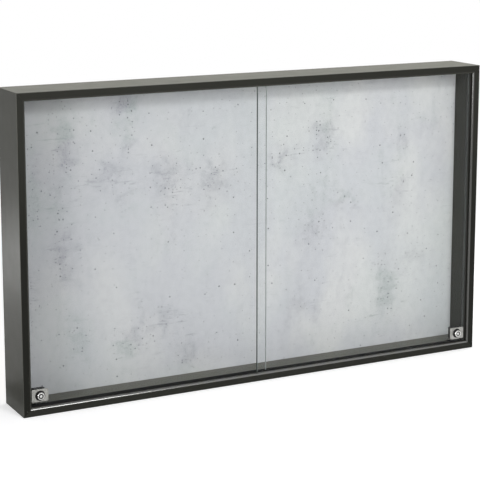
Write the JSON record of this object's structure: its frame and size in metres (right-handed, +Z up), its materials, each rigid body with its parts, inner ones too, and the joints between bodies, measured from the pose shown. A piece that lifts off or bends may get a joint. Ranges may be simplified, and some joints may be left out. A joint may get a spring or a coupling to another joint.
{
  "type": "knife display case",
  "caption": "Shallow wall or counter showcase with a mitred dark frame, a concrete-look back panel and two frameless sliding glass doors, each with a key lock at its lower outer corner.",
  "frame": {"origin": "middle of the footprint of the case on the surface that it stands on", "axes": "+X to the right as seen from the front, +Y from the front to the back, +Z up"},
  "size_m": [1, 0.1, 0.6],
  "materials": {
    "board": "satin anthracite lacquer on board",
    "panel": "matt concrete-look laminate on board",
    "rail_wood": "plain sanded wood",
    "glass": "clear float glass with ground edges",
    "lock_steel": "satin nickel plate",
    "lock_zinc": "black-coated zinc casting",
    "screw_steel": "zinc-plated",
    "hanger_steel": "zinc-plated sheet",
    "track": "black extruded plastic",
    "strip": "slippery black plastic",
    "channel": "dark anodised",
    "rubber": "matt"
  },
  "bodies": {
    "case": {"board_bottom": "board", "board_top": "board", "board_left": "board", "board_right": "board", "corner_spline_bottom_left": "rail_wood", "corner_spline_bottom_right": "rail_wood", "corner_spline_top_left": "rail_wood", "corner_spline_top_right": "rail_wood", "display_panel": "panel", "rear_rail_bottom": "rail_wood", "rear_rail_top": "rail_wood", "rail_screw_bottom_left": "screw_steel", "rail_screw_bottom_right": "screw_steel", "rail_screw_top_left": "screw_steel", "rail_screw_top_right": "screw_steel", "hanger_plate_left": "hanger_steel", "hanger_plate_right": "hanger_steel", "hanger_screw_left_inner": "screw_steel", "hanger_screw_left_outer": "screw_steel", "hanger_screw_right_inner": "screw_steel", "hanger_screw_right_outer": "screw_steel", "wall_bumper_left": "rubber", "wall_bumper_right": "rubber", "track_bottom": "track", "track_top": "track", "track_screw_bottom_left": "screw_steel", "track_screw_bottom_middle": "screw_steel", "track_screw_bottom_right": "screw_steel", "track_screw_top_left": "screw_steel", "track_screw_top_middle": "screw_steel", "track_screw_top_right": "screw_steel", "run_strip_front": "strip", "run_strip_rear": "strip", "side_channel_left": "channel", "side_channel_right": "channel", "keeper_left": "lock_steel", "keeper_right": "lock_steel", "keeper_screw_left_inner": "screw_steel", "keeper_screw_left_outer": "screw_steel", "keeper_screw_right_inner": "screw_steel", "keeper_screw_right_outer": "screw_steel"},
    "door_left": {"door_glass_left": "glass", "lock_front_left": "lock_steel", "lock_gasket_left": "rubber", "lock_case_left": "lock_zinc", "lock_screw_left_upper": "screw_steel", "lock_screw_left_lower": "screw_steel"},
    "door_right": {"door_glass_right": "glass", "lock_front_right": "lock_steel", "lock_gasket_right": "rubber", "lock_case_right": "lock_zinc", "lock_screw_right_upper": "screw_steel", "lock_screw_right_lower": "screw_steel"},
    "plug_left": {"lock_plug_left": "lock_steel"},
    "plug_right": {"lock_plug_right": "lock_steel"},
    "bolt_left": {"lock_bolt_left": "lock_steel"},
    "bolt_right": {"lock_bolt_right": "lock_steel"}
  },
  "joints": [
    {"name": "door_left_slide", "type": "slide", "parent": "case", "child": "door_left", "axis": [1, 0, 0], "range_m": [0, 0.215]},
    {"name": "door_right_slide", "type": "slide", "parent": "case", "child": "door_right", "axis": [-1, 0, 0], "range_m": [0, 0.215]},
    {"name": "plug_left_turn", "type": "hinge", "parent": "door_left", "child": "plug_left", "pos_m": [-0.4629, -0.03, 0.03425], "axis": [0, -1, 0], "range_deg": [0, 90]},
    {"name": "plug_right_turn", "type": "hinge", "parent": "door_right", "child": "plug_right", "pos_m": [0.4629, -0.03, 0.03425], "axis": [0, 1, 0], "range_deg": [0, 90]},
    {"name": "bolt_left_slide", "type": "slide", "parent": "door_left", "child": "bolt_left", "axis": [0, 0, -1], "range_m": [0, 0.0056]},
    {"name": "bolt_right_slide", "type": "slide", "parent": "door_right", "child": "bolt_right", "axis": [0, 0, -1], "range_m": [0, 0.0056]}
  ],
  "couplings": [
    {"joint": "bolt_left_slide", "follows": "plug_left_turn", "m_per_rad": 0.003565},
    {"joint": "bolt_right_slide", "follows": "plug_right_turn", "m_per_rad": 0.003565}
  ]
}
